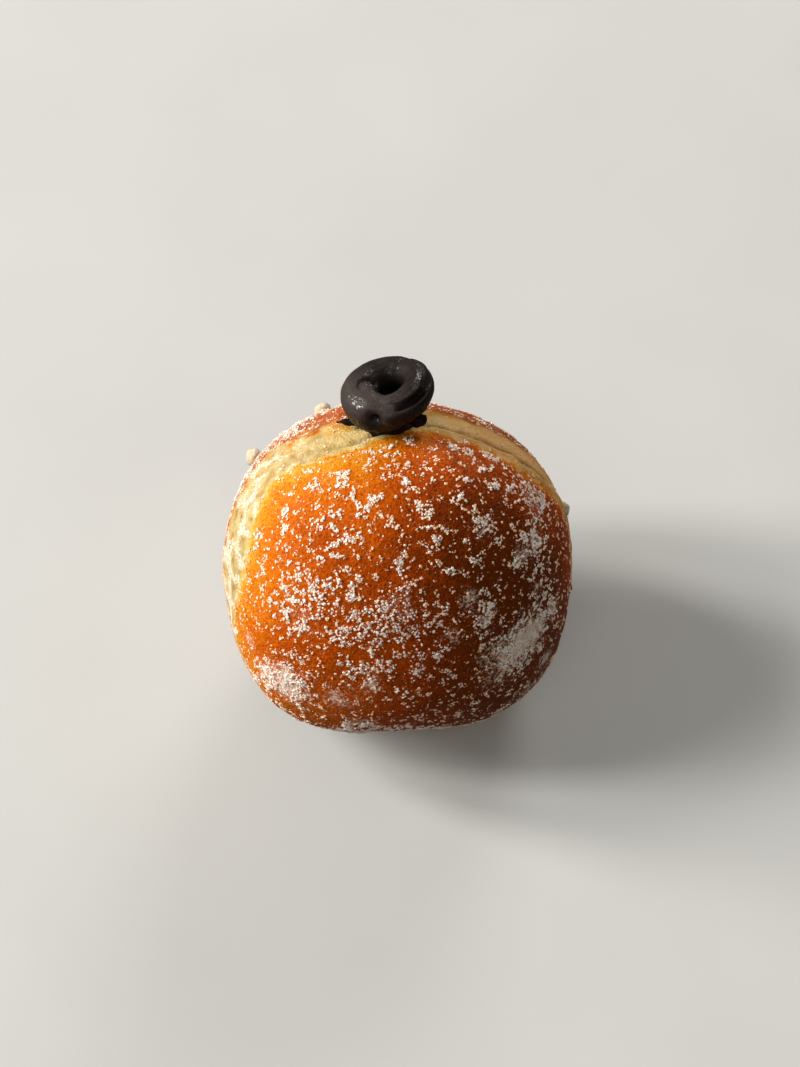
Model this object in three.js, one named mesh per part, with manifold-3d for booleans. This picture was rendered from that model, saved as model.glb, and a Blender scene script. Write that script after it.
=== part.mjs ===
// Filled doughnut without a hole, rolled in sugar and standing on its rim,
// with a curl of dark filling on the hole that it was filled through.
// Millimetres, +Z up. The origin is the middle of the flat spot that it rests on.
import * as THREE from 'three';
import { mergeVertices } from 'three/addons/utils/BufferGeometryUtils.js';
import Module from 'manifold-3d';

// Driving dimensions of the bun; the waves give each share of the radius by which it leaves a circle
const BUN_RADIUS = 43.5;
const BUN_HALF_THICKNESS = 35.5;
const BUN_SQUARENESS = 2.25;
const BUN_WAVES = [
  { count: 2, cosine: 0.025, sine: -0.014 },
  { count: 3, cosine: -0.007, sine: -0.024 },
  { count: 4, cosine: -0.034, sine: 0.018 },
  { count: 5, cosine: 0.006, sine: 0.008 },
];
const FACE_LUMP = 0.5;
const FACE_LEAN = 29.5;
const FACE_TURN = 11.3;
const REST_DEPTH = 2.8;

// Pale band round the waist: its front edge, width, and the ridge and groove along it
const BAND_FRONT = 10.6;
const BAND_WIDTH = 13.5;
const BAND_EDGE_WAVE = 1.6;
const RIDGE_HEIGHT = 0.7;
const RIDGE_WIDTH = 1.8;
const GROOVE_DEPTH = 1.1;
const GROOVE_WIDTH = 3.2;
const GROOVE_SHARE = 0.38;

// Curl of filling: where it sits on the band, how it leans, and its two turns
const CURL_ANGLE = 85;
const CURL_PLACE = 2;
const CURL_TILT_BACK = 16;
const CURL_TILT_LEFT = 13;
const CURL_LIFT = 9.8;
const CURL_RADIUS = 6.1;
const CURL_TUBE = 5;
const UPPER_TUBE = 2.5;
const UPPER_START = 78;
const UPPER_SWEEP = 262;

// Neck of filling through the hole, and the pocket in the middle of the bun
const NECK_RADIUS = 4.2;
const POCKET_RADIUS = 8;
const POCKET_DEPTH = 36;
const FIT_GAP = 0.3;

// Lumps of sugar, crumbs and the torn flake on the outside, each crumb with its place and size
const SUGAR_LUMPS = 124;
const SUGAR_SPACING = 6.3;
const SUGAR_SMALLEST = 0.9;
const SUGAR_LARGEST = 2;
const SUGAR_HEIGHT = 0.5;
const SUGAR_SEED = 11;
const CRUMBS = [
  { angle: 137, latitude: -28, size: 1.9 },
  { angle: 108, latitude: -36, size: 1.9 },
];
const CRUMB_HEIGHT = 1.25;
const FLAKE = { angle: 16, latitude: 14, radius: 1.5, height: 5.5 };

// Facets of the bun
const BUN_SEGMENTS = 68;
const BUN_ROWS = 36;

const radians = THREE.MathUtils.degToRad;
const wasm = await Module();
wasm.setup();

// Seeded random numbers from 0 to 1
function randomSource(seed) {
  let state = seed;
  return () => {
    state = (state + 0x6d2b79f5) | 0;
    let mixed = Math.imul(state ^ (state >>> 15), 1 | state);
    mixed = (mixed + Math.imul(mixed ^ (mixed >>> 7), 61 | mixed)) ^ mixed;
    return ((mixed ^ (mixed >>> 14)) >>> 0) / 2 ** 32;
  };
}

// A closed geometry as a solid for joining and cutting
function toSolid(geometry) {
  const bare = geometry.clone();
  bare.deleteAttribute('normal');
  bare.deleteAttribute('uv');
  const merged = mergeVertices(bare, 1e-4);
  const corners = merged.index.array;
  const kept = [];
  for (let i = 0; i < corners.length; i += 3) {
    const [a, b, c] = corners.slice(i, i + 3);
    if (a !== b && b !== c && c !== a) {
      kept.push(a, b, c);
    }
  }
  return new wasm.Manifold(new wasm.Mesh({
    numProp: 3,
    vertProperties: new Float32Array(merged.attributes.position.array),
    triVerts: new Uint32Array(kept),
  }));
}

function toGeometry(solid) {
  const mesh = solid.getMesh();
  const geometry = new THREE.BufferGeometry();
  geometry.setAttribute('position', new THREE.BufferAttribute(mesh.vertProperties, 3));
  geometry.setIndex(new THREE.BufferAttribute(mesh.triVerts, 1));
  geometry.computeVertexNormals();
  return geometry;
}

function moveVertices(geometry, move) {
  const place = geometry.attributes.position;
  const point = new THREE.Vector3();
  for (let i = 0; i < place.count; i += 1) {
    point.fromBufferAttribute(place, i);
    const moved = move(point);
    place.setXYZ(i, moved.x, moved.y, moved.z);
  }
  return geometry;
}

function hump(distance, width) {
  return Math.exp(-((distance / width) ** 2));
}

// Directions of the standing bun: out of the front face, up along the waist, and to its side
const face = new THREE.Vector3(
  Math.sin(radians(FACE_TURN)) * Math.cos(radians(FACE_LEAN)),
  -Math.cos(radians(FACE_TURN)) * Math.cos(radians(FACE_LEAN)),
  Math.sin(radians(FACE_LEAN)),
);
const crown = new THREE.Vector3(0, 0, 1).projectOnPlane(face).normalize();
const side = new THREE.Vector3().crossVectors(crown, face);

// The band's front edge wanders a little, as the dough floated unevenly in the oil
function bandEdge(angle) {
  return BAND_FRONT + BAND_EDGE_WAVE * Math.cos(3 * angle - radians(70));
}

// A point of the crust: angle round the waist from the side direction, latitude towards the front face
function crustPoint(angle, latitude) {
  const power = 2 / BUN_SQUARENESS;
  const reach = Math.max(Math.cos(latitude), 0) ** power;
  const across = BUN_HALF_THICKNESS * Math.sign(latitude) * Math.abs(Math.sin(latitude)) ** power;
  let swell = 1;
  for (const wave of BUN_WAVES) {
    const turn = wave.count * angle;
    swell += (wave.cosine * Math.cos(turn) + wave.sine * Math.sin(turn)) * reach ** 2;
  }
  const ridge = RIDGE_HEIGHT * hump(across - bandEdge(angle), RIDGE_WIDTH);
  const grooveMiddle = bandEdge(angle) - BAND_WIDTH * GROOVE_SHARE;
  const groove = GROOVE_DEPTH * hump(across - grooveMiddle, GROOVE_WIDTH);
  const lump = FACE_LUMP * Math.sin(3 * angle + 2 * latitude) * Math.sin(5 * latitude + 1) * reach;
  const outwards = BUN_RADIUS * reach * swell + ridge - groove + lump;
  const point = new THREE.Vector3();
  point.addScaledVector(side, outwards * Math.cos(angle));
  point.addScaledVector(crown, outwards * Math.sin(angle));
  point.addScaledVector(face, across);
  return point;
}

function crustNormal(angle, latitude) {
  const step = 0.01;
  const along = crustPoint(angle + step, latitude).sub(crustPoint(angle - step, latitude));
  const up = crustPoint(angle, latitude + step).sub(crustPoint(angle, latitude - step));
  return along.cross(up).normalize();
}

// The bun's outside: a profile turned round the face direction, with closer rows along the band,
// each vertex then moved to the crust
function bunShell(grow) {
  const profile = [];
  for (let row = 0; row <= BUN_ROWS; row += 1) {
    const share = (2 * row) / BUN_ROWS - 1;
    const latitude = (Math.PI / 2) * (0.62 * share + 0.38 * share ** 3);
    profile.push(new THREE.Vector2(Math.max(Math.cos(latitude), 0), Math.sin(latitude)));
  }
  profile[0].x = 0;
  profile[BUN_ROWS].x = 0;
  const ball = new THREE.LatheGeometry(profile, BUN_SEGMENTS);
  return moveVertices(ball, (point) => {
    const latitude = Math.asin(THREE.MathUtils.clamp(point.y, -1, 1));
    const atPole = Math.hypot(point.x, point.z) < 1e-6;
    const angle = atPole ? 0 : Math.atan2(-point.z, point.x);
    const crust = crustPoint(angle, latitude);
    return crust.addScaledVector(crust.clone().normalize(), grow);
  });
}

// The bun sinks REST_DEPTH into its own rest spot: the ground's height below the bun's middle,
// and the middle of the spot that it flattens
function restSpot() {
  const points = [];
  for (let angle = 180; angle < 360; angle += 1) {
    for (let latitude = -60; latitude <= 60; latitude += 1) {
      points.push(crustPoint(radians(angle), radians(latitude)));
    }
  }
  const lowest = Math.min(...points.map((point) => point.z));
  const spot = new THREE.Box3().setFromPoints(points.filter((point) => point.z < lowest + REST_DEPTH));
  return spot.getCenter(new THREE.Vector3()).setZ(lowest + REST_DEPTH);
}

const rest = restSpot();
const bunMiddle = rest.clone().negate();

// Where the curl sits on the band, and the directions of the curl
const curlLatitude = Math.asin((CURL_PLACE / BUN_HALF_THICKNESS) ** (BUN_SQUARENESS / 2));
const curlFoot = crustPoint(radians(CURL_ANGLE), curlLatitude);
const curlUp = new THREE.Vector3(
  -Math.sin(radians(CURL_TILT_LEFT)),
  Math.sin(radians(CURL_TILT_BACK)),
  Math.cos(radians(CURL_TILT_BACK)),
).normalize();
const curlRight = new THREE.Vector3(1, 0, 0).projectOnPlane(curlUp).normalize();
const curlBack = new THREE.Vector3().crossVectors(curlUp, curlRight);
const curlMiddle = curlFoot.clone().addScaledVector(curlUp, CURL_LIFT);
const curlFrame = new THREE.Matrix4().makeBasis(curlRight, curlBack, curlUp).setPosition(curlMiddle);

// A rope of filling: a capsule bent along a curve, its radius given at each share of the length
function rope(curve, radiusAt, sides, rings) {
  const steps = 200;
  const straight = new THREE.CapsuleGeometry(1, 2, 5, sides, rings);
  const frames = curve.computeFrenetFrames(steps, false);
  return moveVertices(straight, (point) => {
    const share = THREE.MathUtils.clamp((point.y + 1) / 2, 0, 1);
    const index = Math.round(share * steps);
    const radius = radiusAt(share);
    const past = point.y - THREE.MathUtils.clamp(point.y, -1, 1);
    const spot = curve.getPointAt(share);
    spot.addScaledVector(frames.tangents[index], past * radius);
    spot.addScaledVector(frames.normals[index], point.x * radius);
    spot.addScaledVector(frames.binormals[index], -point.z * radius);
    return spot;
  });
}

// Upper turn of the curl: it rises at the back, goes over the right and round the front, and ends at the left
class UpperTurn extends THREE.Curve {
  getPoint(share) {
    const angle = radians(UPPER_START - UPPER_SWEEP * share);
    const radius = CURL_RADIUS * (1.06 - 0.42 * share ** 4);
    const rise = THREE.MathUtils.smoothstep(share, 0, 0.35);
    const height = 0.4 + 2.9 * rise - 0.6 * share ** 3;
    return new THREE.Vector3(radius * Math.cos(angle), radius * Math.sin(angle), height);
  }
}

// Lower turn: a fat ring, fuller at the left, with its underside deeper than its top
function lowerTurn() {
  return moveVertices(new THREE.TorusGeometry(CURL_RADIUS, CURL_TUBE, 12, 30), (point) => {
    const angle = Math.atan2(point.y, point.x);
    const fuller = 1 - 0.08 * Math.cos(angle);
    const radius = CURL_RADIUS + (Math.hypot(point.x, point.y) - CURL_RADIUS) * fuller;
    const depth = point.z < 0 ? 1.1 - 0.12 * Math.cos(angle) : 0.9;
    return new THREE.Vector3(radius * Math.cos(angle), radius * Math.sin(angle), point.z * fuller * depth);
  });
}

function curlSolid() {
  const upper = rope(new UpperTurn(), (share) => UPPER_TUBE * (1 - 0.2 * share ** 2), 10, 30);
  const foot = new THREE.SphereGeometry(CURL_RADIUS * 0.95, 16, 10).translate(-1.7, 0.5, -6.4);
  const leftTail = new THREE.ConeGeometry(1.1, 7.5, 8).rotateZ(radians(100)).translate(-9.4, -2, -4.9);
  const rightDab = new THREE.SphereGeometry(2.1, 10, 6).scale(1.8, 0.8, 0.8).translate(5.9, -1.8, -7.4);
  let solid = toSolid(lowerTurn().applyMatrix4(curlFrame));
  for (const piece of [upper, foot, leftTail, rightDab]) {
    solid = solid.add(toSolid(piece.applyMatrix4(curlFrame)));
  }
  return solid;
}

// Neck and pocket: turned about the line from the curl's foot to the middle of the bun
function neckSolid(grow) {
  const outline = new THREE.CatmullRomCurve3([
    new THREE.Vector3(NECK_RADIUS * 0.9, 5, 0),
    new THREE.Vector3(NECK_RADIUS, 0, 0),
    new THREE.Vector3(NECK_RADIUS * 0.95, -POCKET_DEPTH * 0.25, 0),
    new THREE.Vector3(POCKET_RADIUS * 0.85, -POCKET_DEPTH * 0.48, 0),
    new THREE.Vector3(POCKET_RADIUS, -POCKET_DEPTH * 0.7, 0),
    new THREE.Vector3(POCKET_RADIUS * 0.7, -POCKET_DEPTH * 0.92, 0),
  ]);
  const profile = [new THREE.Vector2(0, -POCKET_DEPTH - grow)];
  for (const point of outline.getPoints(12).reverse()) {
    profile.push(new THREE.Vector2(point.x + grow, point.y));
  }
  profile.push(new THREE.Vector2(0, outline.points[0].y + grow));
  const outwards = new THREE.Quaternion();
  outwards.setFromUnitVectors(new THREE.Vector3(0, 1, 0), curlFoot.clone().normalize());
  const turned = new THREE.LatheGeometry(profile, 20).applyQuaternion(outwards);
  return toSolid(turned.translate(curlFoot.x, curlFoot.y, curlFoot.z));
}

// Stands a geometry's +Y on the crust at an angle and a latitude
function onCrust(geometry, angle, latitude, lift) {
  const normal = crustNormal(angle, latitude);
  const point = crustPoint(angle, latitude).addScaledVector(normal, lift);
  const stand = new THREE.Quaternion().setFromUnitVectors(new THREE.Vector3(0, 1, 0), normal);
  geometry.applyQuaternion(stand);
  return toSolid(geometry.translate(point.x, point.y, point.z));
}

// An uneven lump with twenty faces
function lumpGeometry(size, height, random) {
  const ball = new THREE.IcosahedronGeometry(1, 0);
  ball.deleteAttribute('normal');
  ball.deleteAttribute('uv');
  const lump = mergeVertices(ball);
  moveVertices(lump, (corner) => corner.clone().multiplyScalar(size * (0.8 + 0.4 * random())));
  lump.scale(1, height, 1);
  return lump.rotateY(random() * Math.PI);
}

// Sugar lies thickest low on the faces and thins out along the pale band
function sugarShare(angle, latitude) {
  const face = latitude > 0 ? 1 : 0.7;
  const low = 0.65 - 0.35 * Math.sin(angle);
  const onBand = latitude > radians(-5) && latitude < radians(17);
  return face * low * (onBand ? 0.25 : 1);
}

function sugarSolids(random) {
  const taken = [];
  const solids = [];
  const lowest = rest.z + SUGAR_LARGEST;
  while (solids.length < SUGAR_LUMPS) {
    const angle = random() * 2 * Math.PI;
    const latitude = Math.asin(2 * random() - 1);
    const point = crustPoint(angle, latitude);
    const chosen = random() < sugarShare(angle, latitude);
    const crowded = taken.some((other) => other.distanceTo(point) < SUGAR_SPACING);
    const nearCurl = point.distanceTo(curlFoot) < CURL_RADIUS + CURL_TUBE + 3;
    if (chosen && !crowded && !nearCurl && point.z > lowest) {
      const size = THREE.MathUtils.lerp(SUGAR_LARGEST, SUGAR_SMALLEST, solids.length / SUGAR_LUMPS);
      taken.push(point);
      solids.push(onCrust(lumpGeometry(size, SUGAR_HEIGHT, random), angle, latitude, 0));
    }
  }
  return solids;
}

function crumbSolids(random) {
  return CRUMBS.map((crumb) => {
    const lump = lumpGeometry(crumb.size, CRUMB_HEIGHT, random);
    return onCrust(lump, radians(crumb.angle), radians(crumb.latitude), crumb.size * 0.6);
  });
}

function flakeSolid() {
  const blade = new THREE.ConeGeometry(FLAKE.radius, FLAKE.height, 6).scale(1, 1, 0.4);
  return onCrust(blade, radians(FLAKE.angle), radians(FLAKE.latitude), FLAKE.height * 0.1);
}

function bunSolid() {
  const random = randomSource(SUGAR_SEED);
  let solid = toSolid(bunShell(0));
  for (const lump of [...sugarSolids(random), ...crumbSolids(random), flakeSolid()]) {
    solid = solid.add(lump);
  }
  const groundSize = 200;
  const ground = new THREE.BoxGeometry(groundSize, groundSize, groundSize);
  ground.translate(0, 0, rest.z - groundSize / 2);
  return solid.subtract(neckSolid(FIT_GAP)).subtract(toSolid(ground));
}

function fillingSolid() {
  const outside = curlSolid().subtract(toSolid(bunShell(FIT_GAP)));
  return outside.add(neckSolid(0));
}

const doughnut = new THREE.Group();

function addNode(name, solid, material) {
  const node = new THREE.Mesh(toGeometry(solid), material);
  node.name = name;
  node.position.copy(bunMiddle);
  doughnut.add(node);
}

const crust = new THREE.MeshStandardMaterial({ color: 0xc47a35, roughness: 0.6, metalness: 0 });
const darkFilling = new THREE.MeshStandardMaterial({ color: 0x1d1513, roughness: 0.3, metalness: 0 });
addNode('bun', bunSolid(), crust);
addNode('filling', fillingSolid(), darkFilling);

export default doughnut;
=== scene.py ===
# Filled doughnut without a hole, rolled in sugar and standing on its rim, with a curl of dark
# filling on the hole that it was filled through. Metres, +Z up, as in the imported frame.
import bmesh
import bpy
import math
import numpy as np
from mathutils import Matrix, Quaternion, Vector, noise
from mathutils.bvhtree import BVHTree


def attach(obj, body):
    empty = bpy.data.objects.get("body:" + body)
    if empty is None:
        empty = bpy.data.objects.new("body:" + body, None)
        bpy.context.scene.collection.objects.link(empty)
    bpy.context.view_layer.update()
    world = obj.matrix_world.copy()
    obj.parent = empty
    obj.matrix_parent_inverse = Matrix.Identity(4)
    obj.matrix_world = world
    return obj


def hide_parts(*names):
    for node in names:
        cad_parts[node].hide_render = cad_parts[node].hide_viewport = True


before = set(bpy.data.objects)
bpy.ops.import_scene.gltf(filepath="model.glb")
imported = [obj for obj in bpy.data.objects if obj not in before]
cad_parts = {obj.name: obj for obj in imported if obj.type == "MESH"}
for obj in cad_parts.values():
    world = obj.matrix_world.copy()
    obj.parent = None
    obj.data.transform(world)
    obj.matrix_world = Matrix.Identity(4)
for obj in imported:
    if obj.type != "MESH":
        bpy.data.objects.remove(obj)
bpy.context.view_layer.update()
MM = 0.001


# The bun: a thick round of yeast dough, fried on one face and then on the other. It floats high
# in the oil, so a pale band that the oil never covered runs round its waist, and it stands on
# its soft rim, which is flattened there.
BUN_RADIUS = 43.5 * MM
BUN_HALF_THICKNESS = 35.5 * MM
BUN_SQUARENESS = 2.25
BUN_WAVES = [(2, 0.025, -0.014), (3, -0.007, -0.024), (4, -0.034, 0.018), (5, 0.006, 0.008)]
FACE_LUMP = 0.5 * MM
FACE_LEAN = math.radians(29.5)
FACE_TURN = math.radians(11.3)
REST_DEPTH = 2.8 * MM
REST_ROUNDING = 0.5 * MM
BUN_CUTS = 125

# Front edge of the pale band: the angle round the waist in degrees, and how far in front of the
# waist's middle it lies in millimetres
BAND_EDGE_PLACES = [
    (2, 7.0), (12, 6.4), (22, 8.4), (33, 10.6), (42, 11.2), (52, 10.2), (60, 9.0), (70, 7.4), (78, 6.8),
    (90, 8.8), (102, 11.3), (113, 10.0), (121, 8.8), (127, 7.6), (138, 9.4), (145, 11.4),
    (152, 12.8), (162, 12.5), (170, 11.0), (177, 9.0), (185, 7.2), (192, 8.0), (199, 11.2),
    (206, 14.0), (215, 15.4), (225, 14.5), (255, 10.5), (280, 12.5), (310, 9.5), (340, 9.0), (352, 8.0),
]
BAND_WIDTH = 11.0 * MM
BAND_WIDTH_CHANGE = 3.3 * MM
BAND_NARROWEST = math.radians(20)
EDGE_RAGGEDNESS = 0.8 * MM

# At the left and at the upper right the front crust fades into the band, as far round as the
# spread says, and elsewhere it ends in a small step
LEFT_FADE = math.radians(156)
RIGHT_FADE = math.radians(34)
LEFT_FADE_SPREAD = math.radians(27)
RIGHT_FADE_SPREAD = math.radians(36)
EDGE_STEP = 0.28 * MM

# The band's own relief: drawn in all round, and at the right a pinched ridge with a groove behind
HOLLOW_DEPTH = 0.3 * MM
HOLLOW_WIDTH = 2.6 * MM
HOLLOW_SHARE = 0.45
RIDGE_MIDDLE = math.radians(40)
RIDGE_PLACE = -1.0 * MM
RIDGE_HEIGHT = 0.9 * MM
RIDGE_WIDTH = 0.9 * MM
GROOVE_PLACE = -3.0 * MM
GROOVE_DEPTH = 1.3 * MM
GROOVE_WIDTH = 1.1 * MM

# A round blister, a small bump and a fine crease in the front crust: angle and latitude in degrees
BLISTER_PLACE = (71, 24)
BLISTER_RADIUS = 3.2 * MM
BLISTER_HEIGHT = 0.35 * MM
BUMP_PLACE = (349, 14)
BUMP_RADIUS = 1.3 * MM
BUMP_HEIGHT = 0.7 * MM
CREASE_START = (154, 17)
CREASE_END = (163, 28)

face = Vector((
    math.sin(FACE_TURN) * math.cos(FACE_LEAN),
    -math.cos(FACE_TURN) * math.cos(FACE_LEAN),
    math.sin(FACE_LEAN),
))
crown = (Vector((0, 0, 1)) - face * face.z).normalized()
side = crown.cross(face)
bun_axes = np.array([side, crown, face])


def hump(distance, width):
    return np.exp(-(distance / width) ** 2)


def soft_step(values, low, high):
    """Rises from 0 at the low value to 1 at the high one, with soft ends."""
    share = np.clip((values - low) / (high - low), 0, 1)
    return share * share * (3 - 2 * share)


def across_at(latitude):
    """How far in front of the waist's middle a latitude lies."""
    power = 2 / BUN_SQUARENESS
    return BUN_HALF_THICKNESS * np.sign(latitude) * np.abs(np.sin(latitude)) ** power


def crust_points(angle, latitude):
    """Points of the smooth crust, from the bun's middle."""
    reach = np.maximum(np.cos(latitude), 0) ** (2 / BUN_SQUARENESS)
    swell = 1.0
    for count, cosine, sine in BUN_WAVES:
        swell = swell + (cosine * np.cos(count * angle) + sine * np.sin(count * angle)) * reach**2
    lump = FACE_LUMP * np.sin(3 * angle + 2 * latitude) * np.sin(5 * latitude + 1) * reach
    outwards = BUN_RADIUS * reach * swell + lump
    places = np.stack([outwards * np.cos(angle), outwards * np.sin(angle), across_at(latitude)], -1)
    return places @ bun_axes


def crust_place(angle_degrees, latitude_degrees):
    """One point of the crust, standing on the floor."""
    point = crust_points(np.radians(angle_degrees), np.radians(latitude_degrees))
    return Vector(point) + bun_middle


def smooth_noise(points, size, seed=0):
    """Soft random values from -1 to 1 that change over about the given size."""
    shift = Vector((seed * 7.3, seed * 3.1, seed * 5.7))
    return np.array([noise.noise(Vector(point) / size + shift) for point in points])


def ridged_noise(points, size, seed=0):
    return 1 - 2 * np.abs(smooth_noise(points, size, seed))


grid_angle, grid_latitude = np.meshgrid(np.radians(np.arange(180, 360)), np.radians(np.arange(-60, 61)))
underside = crust_points(grid_angle, grid_latitude).reshape(-1, 3)
spot = underside[underside[:, 2] < underside[:, 2].min() + REST_DEPTH]
spot_middle = (spot.min(axis=0) + spot.max(axis=0)) / 2
bun_middle = -Vector((spot_middle[0], spot_middle[1], underside[:, 2].min() + REST_DEPTH))


def mesh_places(mesh):
    places = np.empty(len(mesh.vertices) * 3)
    mesh.vertices.foreach_get("co", places)
    return places.reshape(-1, 3)


def mesh_normals(mesh):
    normals = np.empty(len(mesh.vertices) * 3)
    mesh.vertex_normals.foreach_get("vector", normals)
    return normals.reshape(-1, 3)


def place_mesh(mesh, places):
    mesh.vertices.foreach_set("co", np.ascontiguousarray(places, dtype=np.float32).ravel())
    mesh.update()


def add_attribute(mesh, name, values):
    attribute = mesh.attributes.new(name, "FLOAT", "POINT")
    attribute.data.foreach_set("value", np.ascontiguousarray(values, dtype=np.float32))


def to_object(shape, name):
    """Turns a bmesh into an object of the scene."""
    mesh = bpy.data.meshes.new(name)
    shape.to_mesh(mesh)
    shape.free()
    mesh.polygons.foreach_set("use_smooth", [True] * len(mesh.polygons))
    made = bpy.data.objects.new(name, mesh)
    bpy.context.collection.objects.link(made)
    return made


def band_edges(angle, points):
    """The pale band's front and back edges, as far in front of the waist's middle."""
    degrees = [place[0] for place in BAND_EDGE_PLACES]
    edges = [place[1] * MM for place in BAND_EDGE_PLACES]
    front = np.interp(np.degrees(angle), degrees, edges, period=360)
    width = BAND_WIDTH - BAND_WIDTH_CHANGE * np.cos(angle - BAND_NARROWEST)
    ragged = EDGE_RAGGEDNESS * smooth_noise(points, 3 * MM, 1)
    back_ragged = 2.2 * EDGE_RAGGEDNESS * smooth_noise(points, 5 * MM, 2)
    return front + ragged, front - width + back_ragged


shape = bmesh.new()
bmesh.ops.create_cube(shape, size=2)
bmesh.ops.subdivide_edges(shape, edges=shape.edges[:], cuts=BUN_CUTS, use_grid_fill=True)
bun = to_object(shape, "bun_crust")
cube = mesh_places(bun.data)
directions = np.tan(cube * math.pi / 4)
directions /= np.linalg.norm(directions, axis=1, keepdims=True)
angle = np.arctan2(directions[:, 1], directions[:, 0])
latitude = np.arcsin(np.clip(directions[:, 2], -1, 1))
across = across_at(latitude)
points = crust_points(angle, latitude) + np.array(bun_middle)
place_mesh(bun.data, points)
normals = mesh_normals(bun.data)
front_edge, back_edge = band_edges(angle, points)
past_front = across - front_edge
past_back = back_edge - across

ridge_share = soft_step(np.cos(angle - RIDGE_MIDDLE), -0.1, 0.8)
fading = hump(angle - LEFT_FADE, LEFT_FADE_SPREAD) + hump(angle + 2 * math.pi - LEFT_FADE, LEFT_FADE_SPREAD)
fading += 0.8 * hump(angle - RIGHT_FADE, RIGHT_FADE_SPREAD)
hollow_middle = front_edge - (front_edge - back_edge) * HOLLOW_SHARE
groove_share = hump(past_front - GROOVE_PLACE, GROOVE_WIDTH) * ridge_share
relief = RIDGE_HEIGHT * ridge_share * hump(past_front - RIDGE_PLACE, RIDGE_WIDTH)
relief -= GROOVE_DEPTH * groove_share
relief -= HOLLOW_DEPTH * hump(across - hollow_middle, HOLLOW_WIDTH)
relief += EDGE_STEP * np.maximum(1 - fading, 0) * soft_step(past_front, -0.5 * MM, 0.5 * MM)
relief += 0.3 * MM * hump(past_back - 0.5 * MM, 1.3 * MM)

# Lumps, shallow dents and fine wrinkles of the fried skin
relief += 0.30 * MM * smooth_noise(points, 13 * MM, 3)
relief += 0.16 * MM * smooth_noise(points, 5 * MM, 4)
fried = np.clip(np.maximum(past_front, past_back) / (2 * MM), 0, 1)
relief += 0.07 * MM * ridged_noise(points, 2.4 * MM, 5) * fried
relief += 0.05 * MM * smooth_noise(points, 1.5 * MM, 6)


def distance_to(place):
    return np.linalg.norm(points - np.array(crust_place(*place)), axis=1)


blister_rim = np.clip(1 - (distance_to(BLISTER_PLACE) / BLISTER_RADIUS) ** 4, 0, 1)
relief += BLISTER_HEIGHT * blister_rim
relief += BUMP_HEIGHT * hump(distance_to(BUMP_PLACE), BUMP_RADIUS)

# The crease: how far a point lies to one side of its line, and how near its middle
crease_start, crease_end = crust_place(*CREASE_START), crust_place(*CREASE_END)
crease_middle = (crease_start + crease_end) / 2
crease_along = crease_end - crease_start
crease_across = crease_along.cross(crease_middle - bun_middle).normalized()
to_crease = points - np.array(crease_middle)
beside_crease = to_crease @ np.array(crease_across)
along_crease = to_crease @ np.array(crease_along.normalized())
beside_crease += 0.02 / MM * (along_crease**2) - 0.3 * MM
crease_share = np.clip(1.5 - 2.4 * np.abs(along_crease) / crease_along.length, 0, 1)
crease_share *= (points - np.array(bun_middle)) @ np.array(crease_middle - bun_middle) > 0
relief -= 0.25 * MM * hump(beside_crease, 0.8 * MM) * crease_share

points = points + normals * relief[:, None]
near_floor = np.clip(1 - points[:, 2] / (7 * MM), 0, 1)
spread = points[:, :2] - np.array(bun_middle)[:2]
points[:, :2] += 0.02 * spread * near_floor[:, None]
height = points[:, 2]
points[:, 2] = (height + np.sqrt(height**2 + REST_ROUNDING**2)) / 2
place_mesh(bun.data, points)

add_attribute(bun.data, "past_front", past_front / MM)
add_attribute(bun.data, "past_back", past_back / MM)
add_attribute(bun.data, "fading", fading)
add_attribute(bun.data, "rightness", soft_step(points[:, 0], -14 * MM, 26 * MM))
add_attribute(bun.data, "leftness", soft_step(points[:, 0], -12 * MM, -26 * MM) * (past_front < 0))
add_attribute(bun.data, "lowness", soft_step(points[:, 2], 42 * MM, 8 * MM))
add_attribute(bun.data, "beside_crease", beside_crease / MM)
add_attribute(bun.data, "crease_share", crease_share)
add_attribute(bun.data, "groove", groove_share)


# Short ways to make the nodes of a material
def new_material(name):
    material = bpy.data.materials.new(name)
    material.use_nodes = True
    tree = material.node_tree
    return material, tree, tree.nodes["Principled BSDF"]


def add_node(tree, kind, inputs, output=0, **settings):
    """Adds a node, gives its inputs values or links, and returns one of its outputs."""
    made = tree.nodes.new(kind)
    for setting, value in settings.items():
        setattr(made, setting, value)
    for place, value in inputs.items():
        if isinstance(value, bpy.types.NodeSocket):
            tree.links.new(value, made.inputs[place])
        else:
            made.inputs[place].default_value = value
    return made.outputs[output]


def place_on_object(tree):
    return add_node(tree, "ShaderNodeTexCoord", {}, "Object")


def mesh_value(tree, name):
    return add_node(tree, "ShaderNodeAttribute", {}, "Fac", attribute_name=name)


def cloudy(tree, size, detail=3, roughness=0.55, seed=0):
    """Soft noise whose blotches are about the given size."""
    turned = add_node(tree, "ShaderNodeMapping", {
        "Vector": place_on_object(tree), "Location": (seed * 0.31, seed * 0.17, seed * 0.23)})
    return add_node(tree, "ShaderNodeTexNoise", {
        "Vector": turned, "Scale": 1 / size, "Detail": detail, "Roughness": roughness})


def sums(tree, operation, first, second=0.0, third=0.0):
    return add_node(tree, "ShaderNodeMath", {0: first, 1: second, 2: third}, operation=operation)


def swayed(tree, value, noise_value, amount):
    """Adds a noise to a value, up and down by up to about half the amount."""
    sway = sums(tree, "SUBTRACT", noise_value, 0.5)
    return sums(tree, "MULTIPLY_ADD", sway, amount, value)


def spread_out(tree, value, low, high, to_low=0.0, to_high=1.0):
    """Stretches a range of a value to another range, with soft ends."""
    return add_node(tree, "ShaderNodeMapRange", {
        "Value": value, "From Min": low, "From Max": high, "To Min": to_low, "To Max": to_high},
        interpolation_type="SMOOTHSTEP")


def blend_colours(tree, share, first, second, blend="MIX"):
    return add_node(tree, "ShaderNodeMix", {0: share, 6: first, 7: second}, 2,
                    data_type="RGBA", blend_type=blend)


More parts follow.
